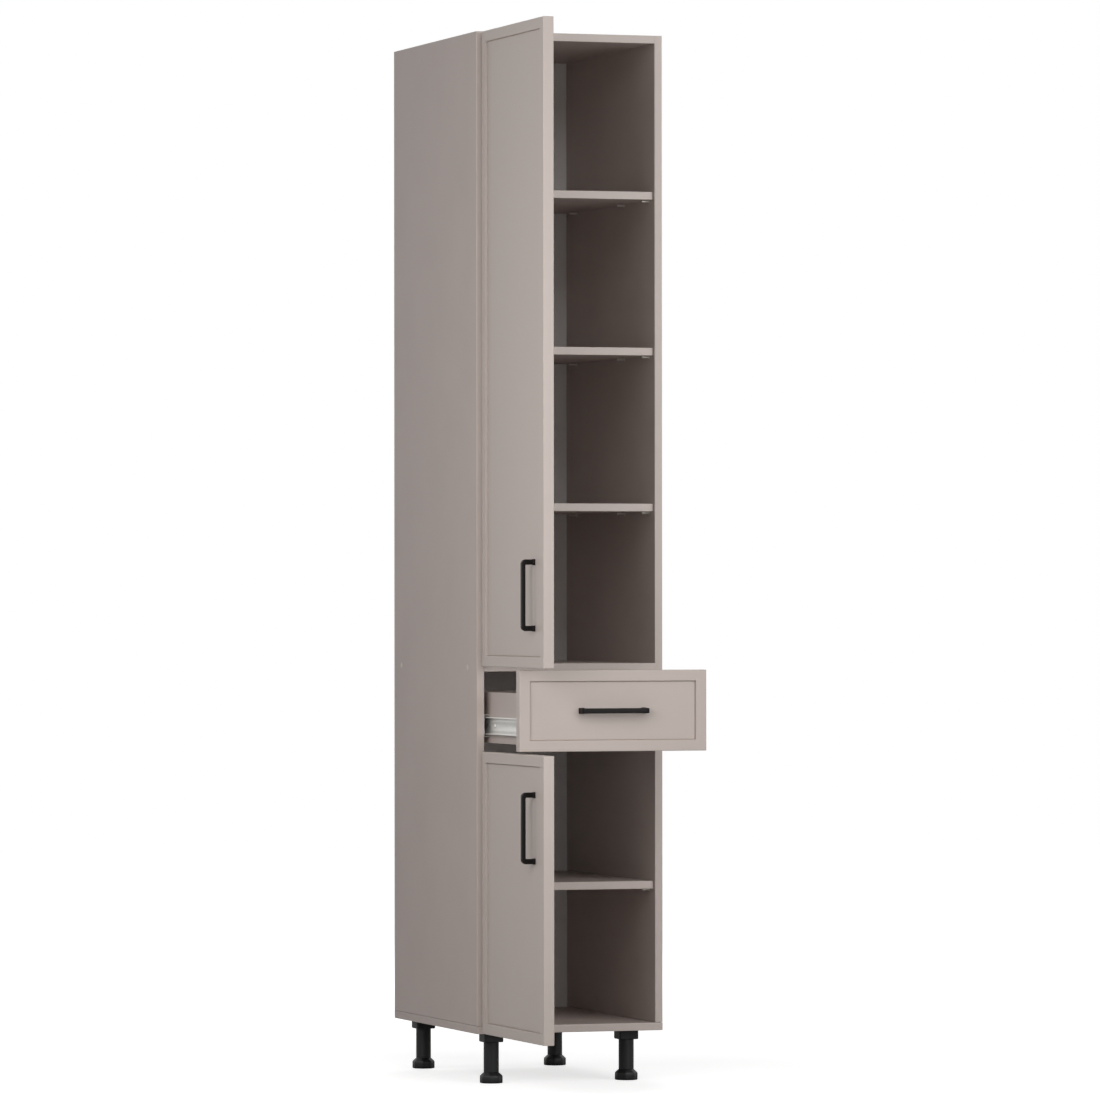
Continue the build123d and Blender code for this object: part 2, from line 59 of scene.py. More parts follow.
def add_node(tree, kind, sockets=None, **settings):
    """Adds a node with its settings; a socket takes a value, or another node's output as a link."""
    made = tree.nodes.new(kind)
    for name, value in settings.items():
        setattr(made, name, value)
    for name, value in (sockets or {}).items():
        if isinstance(value, bpy.types.NodeSocket):
            tree.links.new(value, made.inputs[name])
        else:
            made.inputs[name].default_value = value
    return made


def new_finish(name):
    """A material without nodes, its node tree, and the place on the piece that its patterns read."""
    finish = bpy.data.materials.new(name)
    finish.use_nodes = True
    finish.node_tree.nodes.clear()
    place = add_node(finish.node_tree, "ShaderNodeTexCoord").outputs["Object"]
    return finish, finish.node_tree, place


def grid_faces(rows, columns):
    """Four-sided faces of points numbered row by row, with the last column joined to the first."""
    row = np.arange(rows - 1)[:, None] * columns
    column = np.arange(columns)[None, :]
    after = (column + 1) % columns
    corners = [row + column, row + after, row + columns + after, row + columns + column]
    return np.stack(corners, -1).reshape(-1, 4)


def make_piece(name, points, faces, finishes, body, stands_for=(), finish_of_face=None):
    """Merges doubled points, turns the faces outwards, and joins the new piece to its body."""
    doubled = 1e-6
    crease = math.radians(32)
    mesh = bpy.data.meshes.new(name)
    mesh.from_pydata(np.reshape(points, (-1, 3)).tolist(), [], [[int(i) for i in f] for f in faces])
    for finish in finishes:
        mesh.materials.append(finish)
    if finish_of_face is not None:
        mesh.polygons.foreach_set("material_index", np.asarray(finish_of_face, dtype=np.int32))
    shell = bmesh.new()
    shell.from_mesh(mesh)
    bmesh.ops.remove_doubles(shell, verts=shell.verts, dist=doubled)
    bmesh.ops.recalc_face_normals(shell, faces=shell.faces)
    shell.to_mesh(mesh)
    shell.free()
    mesh.polygons.foreach_set("use_smooth", np.ones(len(mesh.polygons), dtype=bool))
    mesh.set_sharp_from_angle(angle=crease)
    piece = bpy.data.objects.new(name, mesh)
    bpy.context.collection.objects.link(piece)
    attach(piece, body)
    if stands_for:
        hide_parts(*stands_for)


# Melamine paper pressed against a pearled plate: a dull sheen over a fine grain. The real grain is
# about 0.6 mm; it is drawn at 2 mm so that it shows, over faint clouds of colour about 125 mm wide.
melamine, tree, place = new_finish("pearled_melamine")
grain = add_node(tree, "ShaderNodeTexNoise", {
    "Vector": place, "Scale": 500.0, "Detail": 3.0, "Roughness": 0.6})
cloud = add_node(tree, "ShaderNodeTexNoise", {"Vector": place, "Scale": 8.0, "Detail": 3.0})
tone = add_node(tree, "ShaderNodeMix", {
    0: cloud.outputs["Fac"], 6: linear("#B5A8A2"), 7: linear("#BDB0AA")}, data_type="RGBA")
dull = add_node(tree, "ShaderNodeMapRange", {
    "Value": grain.outputs["Fac"], "To Min": 0.46, "To Max": 0.6})
bump = add_node(tree, "ShaderNodeBump", {
    "Height": grain.outputs["Fac"], "Strength": 0.1, "Distance": 0.0003})
surface = add_node(tree, "ShaderNodeBsdfPrincipled", {
    "Base Color": tone.outputs[2], "Roughness": dull.outputs["Result"], "IOR": 1.5,
    "Normal": bump.outputs["Normal"]})
add_node(tree, "ShaderNodeOutputMaterial", {"Surface": surface.outputs["BSDF"]})

# Extruded edging strip: smoother than the faces, with a faint waviness of about 1.5 mm.
edging, tree, place = new_finish("extruded_edging")
drawn = add_node(tree, "ShaderNodeTexNoise", {"Vector": place, "Scale": 650.0, "Detail": 1.0})
dull = add_node(tree, "ShaderNodeMapRange", {
    "Value": drawn.outputs["Fac"], "To Min": 0.3, "To Max": 0.44})
bump = add_node(tree, "ShaderNodeBump", {
    "Height": drawn.outputs["Fac"], "Strength": 0.04, "Distance": 0.0002})
surface = add_node(tree, "ShaderNodeBsdfPrincipled", {
    "Base Color": linear("#C8BBB4"), "Roughness": dull.outputs["Result"], "IOR": 1.5,
    "Normal": bump.outputs["Normal"]})
add_node(tree, "ShaderNodeOutputMaterial", {"Surface": surface.outputs["BSDF"]})


def bored_face(outline, bores, thickness):
    """A flat outline with a round pocket at each bore, as points of across, along and depth. Triangles
    fill the outline outside the circles; a wall runs down each circle, with a floor unless it goes right
    through."""
    sides = 48
    angle = np.linspace(0, 2 * np.pi, sides, endpoint=False)
    ring = np.stack([np.cos(angle), np.sin(angle)], -1)
    loops = [np.array(outline)] + [np.array(bore[:2]) + bore[2] * ring for bore in bores]
    edges = []
    start = 0
    for loop in loops:
        order = start + np.arange(len(loop))
        edges += np.stack([order, np.roll(order, -1)], -1).tolist()
        start += len(loop)
    made = delaunay_2d_cdt([Vector(p) for p in np.concatenate(loops).tolist()], edges, [], 1, 1e-7)
    flat = np.array(made[0])
    triangles = np.array(made[2])
    middles = flat[triangles].mean(axis=1)
    for bore in bores:
        outside = np.linalg.norm(middles - np.array(bore[:2]), axis=1) > bore[2]
        triangles, middles = triangles[outside], middles[outside]
    points = [np.pad(flat, ((0, 0), (0, 1)))]
    faces = triangles.tolist()
    for loop, bore in zip(loops[1:], bores):
        if bore[3] > 0:
            start = sum(len(p) for p in points)
            points += [np.pad(loop, ((0, 0), (0, 1)), constant_values=d) for d in (0, bore[3])]
            faces += (grid_faces(2, sides) + start).tolist()
            if bore[3] < thickness:
                faces.append(list(range(start + sides, start + 2 * sides)))
    return np.concatenate(points), faces


def edged_board(node, body, run, edge, way, low_bores=(), high_bores=(), seam=0.0):
    """A board as a profile carried along the axis run. The profile is the board's box seen end on, with a
    quarter round of 0.8 mm at both corners of the edge that lies on the side way of the axis edge. The two
    broad faces take round bores, each given by its place, radius and depth. Where seam is given, the
    profile is smaller over that height at the board's low end, stepped back by four times as much, which
    leaves a shadow line above the board that it stands on."""
    strip = 0.0008
    low, high = (np.array(c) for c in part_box(node))
    thick = 3 - run - edge
    quarter = np.radians(np.linspace(0, 90, 7))
    outer = high[edge] if way > 0 else low[edge]
    rear = low[edge] if way > 0 else high[edge]
    fall = strip * (1 - np.cos(quarter))
    rise = strip * (1 - np.sin(quarter))
    first = np.stack([low[thick] + fall, outer - way * rise], -1)
    second = np.stack([high[thick] - rise, outer - way * fall], -1)
    hold = outer - way * 5 * strip
    profile = np.concatenate([
        [(low[thick], rear), (low[thick], hold)], first, [(low[thick] + 3 * strip, outer)],
        [(high[thick] - 3 * strip, outer)], second, [(high[thick], hold), (high[thick], rear)]])
    count = len(profile)
    lifts = np.array([0, seam, seam, 6 * seam]) if seam else np.zeros(1)
    levels = np.append(low[run] + lifts, high[run])
    shrunk = np.zeros(len(levels))
    shrunk[:-3] = 4 * seam
    middle = (low + high)[[thick, edge]] / 2
    half = (high - low)[[thick, edge]] / 2
    points = np.zeros((len(levels), count, 3))
    points[:, :, [thick, edge]] = middle + (profile - middle) * (1 - shrunk[:, None, None] / half)
    points[:, :, run] = levels[:, None]
    sides = grid_faces(len(levels), count)
    on_strip = np.zeros((len(levels) - 1, count))
    on_strip[:, 2:count - 3] = 1
    broad_sides = len(sides) - count + np.array([0, count - 2])
    sides = np.delete(sides, broad_sides, axis=0)
    on_strip = np.delete(on_strip.ravel(), broad_sides)
    total = count * len(levels)
    faces = sides.tolist() + [range(count), range(total - count, total)]
    points = [points.reshape(-1, 3)]
    rectangle = [(levels[-2], rear), (high[run], rear), (high[run], hold), (levels[-2], hold)]
    for level, inward, bores in ((low[thick], 1, low_bores), (high[thick], -1, high_bores)):
        flat, flat_faces = bored_face(rectangle, bores, high[thick] - low[thick])
        start = sum(len(p) for p in points)
        broad = np.zeros((len(flat), 3))
        broad[:, [run, edge]] = flat[:, :2]
        broad[:, thick] = level + inward * flat[:, 2]
        points.append(broad)
        faces += [[start + i for i in f] for f in flat_faces]
    on_strip = np.pad(on_strip, (0, len(faces) - len(on_strip)))
    make_piece(node + "_edged", np.concatenate(points), faces, [melamine, edging], body,
               [node], on_strip)


foot_seam = 0.0008
edged_board("left_side_panel", "carcass", 2, 1, -1, seam=foot_seam)
edged_board("right_side_panel", "carcass", 2, 1, -1, seam=foot_seam)
joint_rows = (-0.225, 0.230)
cam_line = 0.160
cam_radius = 0.0075
cam_depth = 0.0125
cam_bores = [(x, y, cam_radius, cam_depth) for x in (-cam_line, cam_line) for y in joint_rows]
edged_board("top_panel", "carcass", 0, 1, -1, (), cam_bores)
edged_board("fixed_divider", "carcass", 0, 1, -1)


def banded_board(node, body, low_bores):
    """A lying board as rectangles stacked from its lower to its upper face. All its edges show, so the
    rectangles draw in along a quarter round of 1.2 mm at both rims; front and rear carry the strip. The
    lower face takes round bores."""
    strip = 0.0012
    low, high = (np.array(c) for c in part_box(node))
    quarter = np.radians(np.linspace(0, 90, 7))
    steps = np.concatenate([
        [(2 * strip, low[2])],
        np.stack([strip * (1 - np.sin(quarter)), low[2] + strip * (1 - np.cos(quarter))], -1),
        [(0.0, low[2] + 3 * strip), (0.0, high[2] - 3 * strip)],
        np.stack([strip * (1 - np.cos(quarter)), high[2] - strip * (1 - np.sin(quarter))], -1),
        [(2 * strip, high[2])]])
    ways = np.array([(-1, -1), (1, -1), (1, 1), (-1, 1)])
    points = np.zeros((len(steps), 4, 3))
    points[:, :, :2] = (low + high)[:2] / 2 + ways * ((high - low)[:2] / 2 - steps[:, None, :1])
    points[:, :, 2] = steps[:, 1, None]
    flat, flat_faces = bored_face(points[0, :, :2], low_bores, high[2] - low[2])
    flat[:, 2] += low[2]
    total = 4 * len(steps)
    rims = grid_faces(len(steps), 4).tolist()
    faces = rims + [range(total - 4, total)] + [[total + i for i in f] for f in flat_faces]
    on_strip = np.zeros(len(faces))
    on_strip[4:len(rims) - 4] = np.tile([1, 0], len(rims) // 2 - 4)
    make_piece(node + "_edged", np.concatenate([points.reshape(-1, 3), flat]), faces, [melamine, edging],
               body, [node], on_strip)


bottom_rows = (-0.225, 0.0025, 0.230)
side_middle = 0.192
head_radius = 0.005
head_depth = 0.003
sunk_heads = [(x, y, head_radius, head_depth) for x in (-side_middle, side_middle) for y in bottom_rows]
banded_board("bottom_panel", "carcass", sunk_heads)

# Loose shelves. The same melamine board with an edging strip in front, cut 1 mm short at each side, set
# back 10 mm from the front and laid on pins.
shelves = ("upper_shelf_1", "upper_shelf_2", "upper_shelf_3", "lower_shelf")
for shelf in shelves:
    edged_board(shelf, "carcass", 0, 1, -1)

# Back board. Hardboard 3 mm thick with a painted pale face, nailed over the rear edges of the boards.
# The fibres show through the paint as a mottle of about 3 mm.


def dress(nodes, finish):
    """Gives CAD nodes, which keep the shape of their solids, a finish."""
    for node in nodes:
        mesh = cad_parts[node].data
        mesh.materials.clear()
        mesh.materials.append(finish)


hardboard, tree, place = new_finish("painted_hardboard")
fibre = add_node(tree, "ShaderNodeTexNoise", {"Vector": place, "Scale": 330.0, "Detail": 4.0})
tone = add_node(tree, "ShaderNodeMix", {
    0: fibre.outputs["Fac"], 6: linear("#F0EFED"), 7: linear("#F8F7F6")}, data_type="RGBA")
bump = add_node(tree, "ShaderNodeBump", {
    "Height": fibre.outputs["Fac"], "Strength": 0.1, "Distance": 0.0003})
surface = add_node(tree, "ShaderNodeBsdfPrincipled", {
    "Base Color": tone.outputs[2], "Roughness": 0.6, "Normal": bump.outputs["Normal"]})
add_node(tree, "ShaderNodeOutputMaterial", {"Surface": surface.outputs["BSDF"]})
dress(["back_panel"], hardboard)

# Carcass fasteners. Zinc-plated steel screws, nails, cams and their bolts, and beech dowels in the top
# joints. The plating shows faint streaks from front to rear, 1.4 mm wide and 70 mm long, and a haze of
# about 5 mm.
zinc, tree, place = new_finish("zinc_plated_steel")
along = add_node(tree, "ShaderNodeMapping", {"Vector": place, "Scale": (700.0, 14.0, 700.0)})
streak = add_node(tree, "ShaderNodeTexNoise", {
    "Vector": along.outputs["Vector"], "Scale": 1.0, "Detail": 3.0})
haze = add_node(tree, "ShaderNodeTexNoise", {"Vector": place, "Scale": 200.0, "Detail": 2.0})
tone = add_node(tree, "ShaderNodeMix", {
    0: haze.outputs["Fac"], 6: linear("#D0CFCC"), 7: linear("#E0DFDC")}, data_type="RGBA")
dull = add_node(tree, "ShaderNodeMapRange", {
    "Value": streak.outputs["Fac"], "To Min": 0.45, "To Max": 0.62})
surface = add_node(tree, "ShaderNodeBsdfPrincipled", {
    "Base Color": tone.outputs[2], "Metallic": 1.0, "Roughness": dull.outputs["Result"]})
add_node(tree, "ShaderNodeOutputMaterial", {"Surface": surface.outputs["BSDF"]})
dress(["carcass_screws", "back_nails", "cam_locks", "cam_bolts"], zinc)

# Turned beech: pale brown with darker flecks along the grain, 1 mm wide and about 17 mm long.
beech, tree, place = new_finish("turned_beech")
along = add_node(tree, "ShaderNodeMapping", {"Vector": place, "Scale": (60.0, 900.0, 900.0)})
fleck = add_node(tree, "ShaderNodeTexNoise", {
    "Vector": along.outputs["Vector"], "Scale": 1.0, "Detail": 3.0})
tone = add_node(tree, "ShaderNodeMix", {
    0: fleck.outputs["Fac"], 6: linear("#B98F63"), 7: linear("#D9B48A")}, data_type="RGBA")
surface = add_node(tree, "ShaderNodeBsdfPrincipled", {"Base Color": tone.outputs[2], "Roughness": 0.6})
add_node(tree, "ShaderNodeOutputMaterial", {"Surface": surface.outputs["BSDF"]})
dress(["top_dowels"], beech)

# Cover caps over the divider's screws. Small moulded plugs of a paler taupe, pushed into the screw heads
# so that only a shallow dome stands out of each side board.
cap_dome = np.array([
    (-0.0003, 0.0), (-0.0003, 0.006), (0.0002, 0.006), (0.00045, 0.0058), (0.00062, 0.0053),
    (0.00072, 0.0042), (0.00078, 0.0025), (0.0008, 0.0)])


def turned(profile, base, axis, sides):
    """Pairs of height and radius turned once about an axis that starts at base."""
    axis = np.array(axis, dtype=float)
    one = np.roll(np.abs(axis), 1)
    two = np.cross(axis, one)
    angle = np.linspace(0, 2 * np.pi, sides, endpoint=False)
    ring = np.cos(angle)[:, None] * one + np.sin(angle)[:, None] * two
    points = np.array(base) + profile[:, 0, None, None] * axis + profile[:, 1, None, None] * ring
    return points.reshape(-1, 3), grid_faces(len(profile), sides)


def gathered(shapes):
    """Several shapes as one list of points and one of faces."""
    starts = np.cumsum([0] + [len(p) for p, f in shapes[:-1]])
    points = np.concatenate([p for p, f in shapes])
    faces = np.concatenate([f + s for (p, f), s in zip(shapes, starts)])
    return points, faces


# Moulded plastic: an even colour whose sheen changes over about 1 mm. The real texture is finer; it is
# drawn at that size so that it shows.
cap_plastic, tree, place = new_finish("moulded_cap")
spark = add_node(tree, "ShaderNodeTexNoise", {"Vector": place, "Scale": 900.0, "Detail": 2.0})
dull = add_node(tree, "ShaderNodeMapRange", {
    "Value": spark.outputs["Fac"], "To Min": 0.35, "To Max": 0.5})
surface = add_node(tree, "ShaderNodeBsdfPrincipled", {
    "Base Color": linear("#C9BDB6"), "Roughness": dull.outputs["Result"], "IOR": 1.46})
add_node(tree, "ShaderNodeOutputMaterial", {"Surface": surface.outputs["BSDF"]})
outer_face = 0.2
low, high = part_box("screw_caps")
cap_places = [(side * outer_face, y, (low[2] + high[2]) / 2) for side in (-1, 1) for y in joint_rows]
points, faces = gathered([turned(cap_dome, p, (np.sign(p[0]), 0, 0), sides=32) for p in cap_places])
make_piece("cover_caps", points, faces, [cap_plastic], "carcass", ["screw_caps"])

# Shelf pins. Nickel-plated steel pegs, three a side under every shelf, with a thin collar against the
# board and a rounded nose; the shelf lies on them. The plating has a warm, soft shine with a haze of
# about 4 mm.
nickel, tree, place = new_finish("nickel_plated_steel")
haze = add_node(tree, "ShaderNodeTexNoise", {"Vector": place, "Scale": 260.0, "Detail": 3.0})
tone = add_node(tree, "ShaderNodeMix", {
    0: haze.outputs["Fac"], 6: linear("#DAD6CF"), 7: linear("#E8E5DF")}, data_type="RGBA")
dull = add_node(tree, "ShaderNodeMapRange", {
    "Value": haze.outputs["Fac"], "To Min": 0.34, "To Max": 0.5})
surface = add_node(tree, "ShaderNodeBsdfPrincipled", {
    "Base Color": tone.outputs[2], "Metallic": 1.0, "Roughness": dull.outputs["Result"]})
add_node(tree, "ShaderNodeOutputMaterial", {"Surface": surface.outputs["BSDF"]})

pin_radius = 0.0025
pin_reach = 0.016
pin_rows = (-0.250, -0.095, 0.215)
inner_face = 0.184
nose_round = 0.0012
nose = np.radians(np.linspace(0, 90, 7))
nose_height = pin_reach - nose_round + nose_round * np.sin(nose)
nose_radius = pin_radius - nose_round * (1 - np.cos(nose))
pin_outline = np.concatenate([
    [(-0.009, 0.0), (-0.009, 0.0024), (0.0, 0.0025), (0.0, 0.0036), (0.0007, 0.0036), (0.0009, 0.0033)],
    [(0.0009, pin_radius), (pin_reach - nose_round, pin_radius)],
    np.stack([nose_height, nose_radius], -1),
    [(pin_reach, 0.0)]])
pin_shapes = []
for shelf in shelves:
    z_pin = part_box(shelf)[0][2] - pin_radius
    for side in (-1, 1):
        for y in pin_rows:
            base = (side * inner_face, y, z_pin)
            pin_shapes.append(turned(pin_outline, base, (-side, 0, 0), sides=20))
points, faces = gathered(pin_shapes)
make_piece("shelf_pegs", points, faces, [nickel], "carcass", ["shelf_pins"])

# Legs. Black moulded plastic: a socket plate screwed under the bottom board, a tube pushed into it, and
# an eight-sided foot on a threaded stem that is turned to level the cabinet.

# Nearly black, with a matt texture of about 1.2 mm, coarser than the real one so that it shows, and flow
# marks about 17 mm wide.
leg_plastic, tree, place = new_finish("black_moulded_plastic")
spark = add_node(tree, "ShaderNodeTexNoise", {"Vector": place, "Scale": 800.0, "Detail": 2.0})
flow = add_node(tree, "ShaderNodeTexNoise", {"Vector": place, "Scale": 60.0, "Detail": 2.0})
tone = add_node(tree, "ShaderNodeMix", {
    0: flow.outputs["Fac"], 6: linear("#131414"), 7: linear("#1A1B1B")}, data_type="RGBA")
dull = add_node(tree, "ShaderNodeMapRange", {
    "Value": spark.outputs["Fac"], "To Min": 0.36, "To Max": 0.52})
bump = add_node(tree, "ShaderNodeBump", {
    "Height": spark.outputs["Fac"], "Strength": 0.12, "Distance": 0.0002})
surface = add_node(tree, "ShaderNodeBsdfPrincipled", {
    "Base Color": tone.outputs[2], "Roughness": dull.outputs["Result"], "IOR": 1.46,
    "Specular IOR Level": 0.35, "Normal": bump.outputs["Normal"]})
add_node(tree, "ShaderNodeOutputMaterial", {"Surface": surface.outputs["BSDF"]})
dress(["leg_sockets", "leg_tubes"], leg_plastic)
dress(["leg_screws"], zinc)


def grip_foot(node):
    """A foot as rings of points about its axis. A ring is a circle or an octagon with softened corners,
    whose radius at an angle is the inner radius over the thirtieth-power mean of the cosines to the four
    pairs of flats; the rings follow an outline of height, size and squareness from the floor to the
    stem."""
    sides = 96
    softness = 30
    stem = 0.4063
    low, high = (np.array(c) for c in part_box(node))
    middle = (low + high) / 2
    flat = (high[0] - low[0]) / 2
    outline = np.array([
        (0.0015, 0.0, 0), (0.0015, 0.55, 0), (0.0, 0.62, 0), (0.0, 0.95, 1), (0.0006, 0.985, 1),
        (0.0016, 1.0, 1), (0.0135, 1.0, 1), (0.0150, 0.985, 1), (0.0165, 0.93, 1), (0.0195, 0.80, 0.7),
        (0.0212, 0.735, 0.3), (0.0220, 0.700, 0), (0.0220, stem, 0), (high[2] - 0.001, stem, 0),
        (high[2], 0.36, 0), (high[2], 0.0, 0)])
    angle = np.linspace(0, 2 * np.pi, sides, endpoint=False)
    turn = np.arange(4)[:, None] * np.pi / 4
    octagon = 1 / np.sum(np.abs(np.cos(angle - turn)) ** softness, axis=0) ** (1 / softness)
    shape = outline[:, 2, None] * octagon + 1 - outline[:, 2, None]
    radius = flat * outline[:, 1, None] * shape
    height = np.broadcast_to(outline[:, 0, None], radius.shape)
    points = np.stack([middle[0] + radius * np.cos(angle), middle[1] + radius * np.sin(angle), height], -1)
    make_piece(node + "_grip", points, grid_faces(len(outline), sides), [leg_plastic],
               node.replace("leg_", ""), [node])


for foot in ("leg_foot_front_left", "leg_foot_front_right", "leg_foot_back_left", "leg_foot_back_right"):
    grip_foot(foot)

# Fronts: two doors and the drawer's front. Fibreboard 22 mm thick, milled in one piece with a slim frame
# round a sunk field, its edges eased, then sprayed with satin taupe lacquer.

# An even sheen, with a faint orange peel of about 2.4 mm and clouds of tone about 170 mm wide.
lacquer, tree, place = new_finish("satin_lacquer")
peel = add_node(tree, "ShaderNodeTexNoise", {"Vector": place, "Scale": 420.0, "Detail": 1.0})
cloud = add_node(tree, "ShaderNodeTexNoise", {"Vector": place, "Scale": 6.0, "Detail": 2.0})
tone = add_node(tree, "ShaderNodeMix", {
    0: cloud.outputs["Fac"], 6: linear("#BCB0A9"), 7: linear("#C2B6AF")}, data_type="RGBA")
dull = add_node(tree, "ShaderNodeMapRange", {
    "Value": cloud.outputs["Fac"], "To Min": 0.44, "To Max": 0.54})
bump = add_node(tree, "ShaderNodeBump", {
    "Height": peel.outputs["Fac"], "Strength": 0.04, "Distance": 0.0003})
surface = add_node(tree, "ShaderNodeBsdfPrincipled", {
    "Base Color": tone.outputs[2], "Roughness": dull.outputs["Result"], "IOR": 1.5,
    "Normal": bump.outputs["Normal"]})
add_node(tree, "ShaderNodeOutputMaterial", {"Surface": surface.outputs["BSDF"]})

frame_width = 0.022
field_depth = 0.005


def framed_front(node, body, thick, bores):
    """A front as rounded rectangles one inside the other, each at its own depth: up the outer edge, over a
    quarter round of 1.5 mm, across the frame, down a wall into a narrow groove and up to the sunk field.
    The back is flat, with a round bore for each hinge cup."""
    low, high = (np.array(c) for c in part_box(node))
    middle = (low + high) / 2
    wide = 1 - thick
    size = high - low
    half = size / 2
    quarter = np.radians(np.linspace(0, 90, 6))
    ease = 0.0015
    lip = 0.0005
    outer_corner = 0.0012
    field_corner = 0.002
    groove = np.array([(0.0, 0.0016), (0.0008, 0.0016), (0.0011, 0.0004), (0.0013, 0.0001), (0.0018, 0.0)])
    deep = size[thick]
    wall = frame_width + 0.0002
    steps = np.concatenate([
        [(lip, deep), (0.0, deep - lip), (0.0, 4 * ease), (0.0, 2 * ease)],
        np.stack([ease * (1 - np.cos(quarter)), ease * (1 - np.sin(quarter))], -1),
        [(3 * ease, 0.0), (frame_width - 4 * lip, 0.0)],
        np.stack([frame_width - lip + lip * np.sin(quarter), lip * (1 - np.cos(quarter))], -1),
        np.array([wall, field_depth]) + groove, [(wall + 2 * groove[-1, 0], field_depth)]])
    inset = steps[:, 0, None]
    corner = np.where(inset < 0.5 * frame_width, outer_corner, field_corner)
    arc = np.radians(np.linspace(0, 90, 7))[None, :] + np.radians([0, 90, 180, 270])[:, None]
    side_w = np.sign(np.cos(np.radians([45, 135, 225, 315])))[:, None] + 0 * arc
    side_z = np.sign(np.sin(np.radians([45, 135, 225, 315])))[:, None] + 0 * arc
    arc, side_w, side_z = arc.ravel(), side_w.ravel(), side_z.ravel()
    count = arc.size
    points = np.zeros((len(steps), count, 3))
    points[:, :, wide] = middle[wide] + side_w * (half[wide] - inset - corner) + corner * np.cos(arc)
    points[:, :, 2] = middle[2] + side_z * (half[2] - inset - corner) + corner * np.sin(arc)
    points[:, :, thick] = low[thick] + steps[:, 1, None]
    flat, flat_faces = bored_face(points[0][:, [wide, 2]], bores, deep)
    back = np.zeros((len(flat), 3))
    back[:, [wide, 2]] = flat[:, :2]
    back[:, thick] = high[thick] - flat[:, 2]
    total = len(steps) * count
    faces = grid_faces(len(steps), count).tolist() + [range(total - count, total)]
    faces += [[total + i for i in f] for f in flat_faces]
    make_piece(node + "_milled", np.concatenate([points.reshape(-1, 3), back]), faces, [lacquer], body,
               [node])


framed_front("drawer_front", "drawer", 1, [])
cup_radius = 0.0175
cup_depth = 0.0136
cup_inset = 0.0215
cup_half = 0.028
hinge_heights = {}
for door in ("upper_door", "lower_door"):
    cup_low, cup_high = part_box(door + "_hinge_cups")
    hinge_heights[door] = [cup_low[2] + cup_half, cup_high[2] - cup_half]
    if door == "upper_door":
        hinge_heights[door].append((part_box("upper_shelf_1")[0][2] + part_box("upper_shelf_2")[1][2]) / 2)
    y_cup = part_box(door + "_panel")[1][1] - cup_inset
    framed_front(door + "_panel", door, 0, [(y_cup, z, cup_radius, cup_depth) for z in hinge_heights[door]])

# Handles. A bow cast in zinc alloy with a satin black powder coat, 142 mm long, held by two screws
# from behind. The legs end in shallow collars on the field.

# A dull skin with a grit of about 0.9 mm, coarser than the real one so that it shows.
powder, tree, place = new_finish("black_powder_coat")
grit = add_node(tree, "ShaderNodeTexNoise", {"Vector": place, "Scale": 1100.0, "Detail": 2.0})
dull = add_node(tree, "ShaderNodeMapRange", {
    "Value": grit.outputs["Fac"], "To Min": 0.34, "To Max": 0.5})
bump = add_node(tree, "ShaderNodeBump", {
    "Height": grit.outputs["Fac"], "Strength": 0.15, "Distance": 0.0002})
surface = add_node(tree, "ShaderNodeBsdfPrincipled", {
    "Base Color": linear("#13100F"), "Roughness": dull.outputs["Result"], "IOR": 1.5,
    "Specular IOR Level": 0.15, "Normal": bump.outputs["Normal"]})
add_node(tree, "ShaderNodeOutputMaterial", {"Surface": surface.outputs["BSDF"]})
handle_half = 0.066


def bow_handle(node, body, along, out):
    """A section carried along the bow. At every station an inner and an outer point bound the section: up
    the leg, round the corner with a radius of 2 mm inside and 9 mm outside, and along the bar; the section
    is a rectangle whose corners follow a power curve, widened at the leg's foot to make the collar."""
    low, high = (np.array(c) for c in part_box(node))
    across = 3 - along - out
    width = 0.0105
    bar = 0.0080
    bend_out = 0.009
    bend_in = 0.002
    around = 40
    reach = high[out] - low[out]
    bend = np.radians(np.linspace(0, 90, 15))
    fall = 1 - np.cos(bend)
    rise = 1 - np.sin(bend)
    outer_leg = -handle_half - width / 2
    inner_leg = -handle_half + width / 2
    foot = np.array([0.0, 0.0036, 0.0040, 0.0044, 0.0046, 0.006])
    swell = np.array([12.0, 12.0, 11.6, 10.9, 10.5, 10.5]) / 10.5
    outer = np.concatenate([
        np.stack([0 * foot + outer_leg, foot], -1),
        np.stack([outer_leg + bend_out * fall, reach - bend_out * rise], -1)])
    inner = np.concatenate([
        np.stack([0 * foot + inner_leg, foot], -1),
        np.stack([inner_leg + bend_in * fall, reach - bar - bend_in * rise], -1)])
    swell = np.concatenate([swell, np.ones(len(bend))])
    mirror = np.array([-1, 1])
    outer = np.concatenate([outer, outer[::-1] * mirror])
    inner = np.concatenate([inner, inner[::-1] * mirror])
    swell = np.concatenate([swell, swell[::-1]])[:, None]
    angle = np.linspace(0, 2 * np.pi, around, endpoint=False)
    power = 0.28
    round_x = np.sign(np.cos(angle)) * np.abs(np.cos(angle)) ** power
    round_y = np.sign(np.sin(angle)) * np.abs(np.sin(angle)) ** power
    middle = (outer + inner) / 2
    spread = (outer - inner) / 2
    station = middle[:, None, :] + spread[:, None, :] * (swell * round_x)[:, :, None]
    points = np.zeros((len(outer), around, 3))
    points[:, :, along] = (low + high)[along] / 2 + station[:, :, 0]
    points[:, :, out] = high[out] - station[:, :, 1]
    points[:, :, across] = (low + high)[across] / 2 + width / 2 * swell * round_y
    total = around * len(outer)
    faces = grid_faces(len(outer), around).tolist()
    faces += [range(around), range(total - around, total)]
    make_piece(node + "_bow", points, faces, [powder], body, [node])


bow_handle("drawer_handle", "drawer", 0, 1)
bow_handle("upper_door_handle", "upper_door", 2, 0)
bow_handle("lower_door_handle", "lower_door", 2, 0)
dress(["drawer_handle_screws", "upper_door_handle_screws", "lower_door_handle_screws"], zinc)

